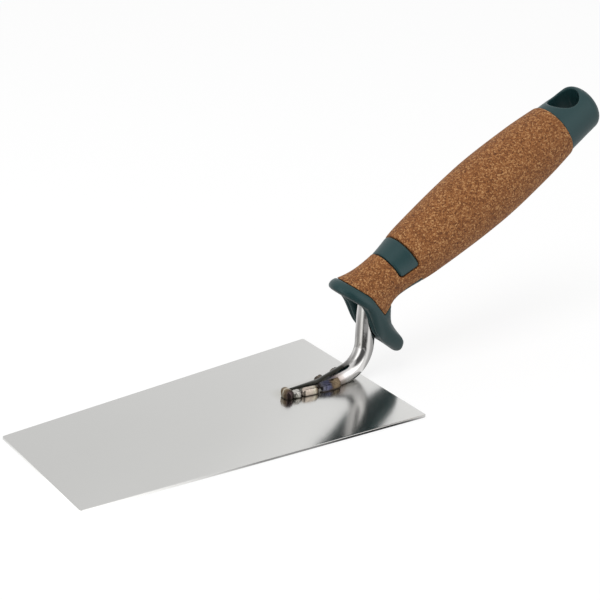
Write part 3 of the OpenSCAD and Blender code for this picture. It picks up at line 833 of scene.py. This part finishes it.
def cork_granules(n, coords, shader):
    """Coarse and fine cork granules of many tones, bound in soft plastic."""
    grains = n.cells(coords, 1450)
    fine = n.cells(coords, 3100)
    pick = n("ShaderNodeSeparateColor", Color=grains.outputs["Color"]).outputs[0]
    pick_fine = n("ShaderNodeSeparateColor", Color=fine.outputs["Color"]).outputs[1]
    both = n.math("ADD", n.math("MULTIPLY", pick, 0.5), n.math("MULTIPLY", pick_fine, 0.5))
    tone = n.ramp(both, CORK_TONES)
    cloud = n.noise(coords, 120, 3.0)
    tone = n.mix(n.math("MULTIPLY", cloud, 0.3), tone, CORK_CLOUD)
    n.put(shader, "Base Color", tone)
    n.put(shader, "Roughness", n.math("ADD", n.math("MULTIPLY", pick_fine, 0.2), 0.62))
    shader.inputs["Specular IOR Level"].default_value = 0.3
    height = n.math("ADD", n.math("MULTIPLY", grains.outputs["Distance"], -0.8), pick_fine)
    bump(n, shader, height, 0.25, 0.0002)


# Each deposit's tints follow each other between two places, in metres, along or across the tool; the
# near-black where one near deposit meets the next is painted shade
finishes = {
    "blade": material("polished_sheet", blade_steel),
    "bar": material("polished_bar", bar_steel),
    # The toe deposit's pale straw middle is a painted highlight
    "toe": material("weld_straw", weld_metal(1, -0.0032, 0.0032, [
        (0.06, PLUM), (0.2, BROWN), (0.42, STRAW), (0.55, PALE_STRAW_AND_GLINT), (0.66, STRAW), (0.9, BROWN)], 0.16)),
    # Painted shade: near-black at the bright deposit's rear end, the peach one's rear end and the blue one's
    # front end
    "near_front": material("weld_bright", weld_metal(0, 0.0402, 0.0458, [
        (0.0, BROWN), (0.22, SILVER), (0.72, SILVER), (0.9, SLATE), (1.0, BLACKISH)], 0.13)),
    "near_middle": material("weld_peach", weld_metal(0, 0.0446, 0.0530, [
        (0.0, SLATE), (0.1, PEACH), (0.55, PEACH), (0.75, PALE_STRAW_AND_GLINT), (0.9, STRAW), (1.0, BLACKISH)], 0.18)),
    "near_rear": material("weld_blue_tint", weld_metal(0, 0.0534, 0.0660, [
        (0.06, BLACKISH), (0.18, DUSK), (0.34, VIOLET), (0.44, VIOLET), (0.54, BROWN), (0.68, STRAW),
        (0.84, STRAW), (1.0, BROWN)], 0.16)),
    "far": material("weld_far_tint", weld_metal(0, 0.056, 0.071, [
        (0.05, BLACKISH), (0.2, BROWN), (0.35, BLACKISH), (0.6, BROWN), (0.8, BLACKISH), (1.0, BROWN)], 0.16)),
    "green": material("green_moulded", green_plastic),
    "cork": material("cork_granules", cork_granules),
}
for piece, finish in (
    (blade, "blade"), (tang, "bar"), (green_piece, "green"), (cork_piece, "cork"),
    (beads["toe"], "toe"), (beads["near_front"], "near_front"), (beads["near_middle"], "near_middle"),
    (beads["near_rear"], "near_rear"), (beads["far_front"], "far"), (beads["far_rear"], "far"),
):
    piece.data.materials.clear()
    piece.data.materials.append(finishes[finish])

# ---------------------------------------------------------------- floor, world and lamp

# What polished metal sees around it: grey tones by compass direction, in degrees from +X,
# near the ground and higher up
LOW_PANELS = [
    (-180, 0.95), (-178, 1.5), (-175, 1.9), (-167, 1.9), (-160, 0.8), (-152, 0.55), (-144, 0.42),
    (-112, 0.45), (-98, 0.52), (-76, 1.0), (-22, 0.9), (-10, 0.75), (35, 0.78), (45, 0.96), (70, 0.96),
    (103, 1.0), (112, 0.88), (122, 0.66), (132, 0.4), (150, 0.42), (160, 0.58), (172, 0.66), (180, 0.95),
]
HIGH_PANELS = [
    (-180, 1.5), (-177, 1.9), (-166, 1.9), (-157, 0.9), (-150, 0.2), (-142, 0.12), (-111, 0.12),
    (-103, 0.35), (-97, 1.0), (-90, 1.9), (-70, 1.9), (-60, 1.25), (-50, 0.95), (-22, 0.85), (-10, 0.7),
    (35, 0.85), (43, 1.14), (51, 1.1), (56, 0.96), (90, 0.85), (104, 1.0), (118, 1.15), (127, 0.78),
    (141, 0.6), (157, 0.67), (166, 0.95), (174, 1.4), (180, 1.5),
]
# The ground's panels change between these distances from the riser, in metres
NEAR_GROUND, FAR_GROUND, NEAR_DIMMING = (0.062, 0.074), (0.086, 0.096), 0.4
FLOOR_SIDE, FLOOR_DROP, FLOOR_GREY, FLOOR_GLOW, GLOW_SHARE = 3.0, 0.0002, 0.85, 1.1, 0.72
OVERHEAD_FROM, OVERHEAD_OVER, WORLD_LIGHT = 0.6, 0.25, 0.65
WHITE, BLACK = (1.0, 1.0, 1.0), (0.0, 0.0, 0.0)
KEY_PLACE, KEY_AIM, KEY_SIZE, KEY_WATTS = (-0.5, -0.3, 1.1), (0.06, 0.0, 0.05), 0.7, 6


def panel_tone(n, x, y, panels):
    """Grey of the panels in the direction (x, y), as a compass ramp around the object."""
    angle = n.math("ARCTAN2", y, x)
    turn = n.math("ADD", n.math("DIVIDE", angle, 2 * math.pi), 0.5)
    return n.ramp(turn, [(0.5 + at / 360, grey) for at, grey in panels])


def straight_ray(n, ray):
    """1 for what the camera sees, also in metal or through glass, and 0 for the light on the object."""
    return n.math("MAXIMUM", ray.outputs["Is Camera Ray"],
                  n.math("MAXIMUM", ray.outputs["Is Glossy Ray"], ray.outputs["Is Transmission Ray"]))


def make_floor():
    """A pale floor that keeps the object's shadow, with the panels for reflections alone."""
    side, drop = FLOOR_SIDE, FLOOR_DROP
    mesh = bpy.data.meshes.new("floor")
    mesh.from_pydata([(-side, -side, -drop), (side, -side, -drop), (side, side, -drop), (-side, side, -drop)],
                     [], [(0, 1, 2, 3)])
    floor = new_object("floor", mesh)
    mat = bpy.data.materials.new("floor_white")
    mat.use_nodes = True
    n = Nodes(mat.node_tree)
    ray = n("ShaderNodeLightPath")
    plain = n("ShaderNodeBsdfDiffuse", Color=(FLOOR_GREY,) * 3)
    pale = n("ShaderNodeEmission", Color=WHITE, Strength=FLOOR_GLOW)
    seen = n("ShaderNodeMixShader")
    n.put(seen, "0", GLOW_SHARE)
    n.tree.links.new(plain.outputs[0], seen.inputs[1])
    n.tree.links.new(pale.outputs[0], seen.inputs[2])
    split = n("ShaderNodeSeparateXYZ", Vector=n("ShaderNodeTexCoord").outputs["Object"])
    x, y = n.math("SUBTRACT", split.outputs[0], CORNER[0] * MM), split.outputs[1]
    # Near the tool the ground carries on the tones that the blade mirrors, and far off the high ones
    away = n.math("POWER", n.math("ADD", n.math("MULTIPLY", x, x), n.math("MULTIPLY", y, y)), 0.5)
    near = n.mix(NEAR_DIMMING, panel_tone(n, x, y, HIGH_PANELS), BLACK)
    tone = n.mix(between(n, away, *NEAR_GROUND), near, panel_tone(n, x, y, LOW_PANELS))
    tone = n.mix(between(n, away, *FAR_GROUND), tone, panel_tone(n, x, y, HIGH_PANELS))
    mirrored = n("ShaderNodeEmission", Color=tone, Strength=1.0)
    mirror_mix = n("ShaderNodeMixShader")
    n.put(mirror_mix, "0", ray.outputs["Is Glossy Ray"])
    n.tree.links.new(seen.outputs[0], mirror_mix.inputs[1])
    n.tree.links.new(mirrored.outputs[0], mirror_mix.inputs[2])
    both = n("ShaderNodeMixShader")
    n.put(both, "0", straight_ray(n, ray))
    n.tree.links.new(plain.outputs[0], both.inputs[1])
    n.tree.links.new(mirror_mix.outputs[0], both.inputs[2])
    out = n("ShaderNodeOutputMaterial")
    n.tree.links.new(both.outputs[0], out.inputs[0])
    mesh.materials.append(mat)


def make_world():
    """A white backdrop and plain light from all sides, with the panels for reflections alone."""
    world = bpy.data.worlds.new("studio")
    world.use_nodes = True
    bpy.context.scene.world = world
    n = Nodes(world.node_tree)
    ray = n("ShaderNodeLightPath")
    split = n("ShaderNodeSeparateXYZ", Vector=n("ShaderNodeTexCoord").outputs["Generated"])
    around = panel_tone(n, split.outputs[0], split.outputs[1], HIGH_PANELS)
    overhead = n.math("DIVIDE", n.math("SUBTRACT", split.outputs[2], OVERHEAD_FROM), OVERHEAD_OVER, True)
    tone = n.mix(overhead, around, WHITE)
    colour = n.mix(ray.outputs["Is Glossy Ray"], WHITE, tone)
    strength = n.math("ADD", n.math("MULTIPLY", straight_ray(n, ray), 1 - WORLD_LIGHT), WORLD_LIGHT)
    background = n("ShaderNodeBackground", Color=colour, Strength=strength)
    out = n("ShaderNodeOutputWorld")
    world.node_tree.links.new(background.outputs[0], out.inputs[0])


def make_key_lamp():
    """A soft lamp above the toe, on the camera's left. It lights the object, and no metal mirrors it."""
    data = bpy.data.lights.new("key", "AREA")
    data.shape = "DISK"
    data.size = KEY_SIZE
    data.energy = KEY_WATTS
    lamp = bpy.data.objects.new("key", data)
    lamp.location = KEY_PLACE
    lamp.rotation_euler = (Vector(KEY_PLACE) - Vector(KEY_AIM)).to_track_quat("Z", "Y").to_euler()
    lamp.visible_glossy = False
    bpy.context.scene.collection.objects.link(lamp)


make_floor()
make_world()
make_key_lamp()
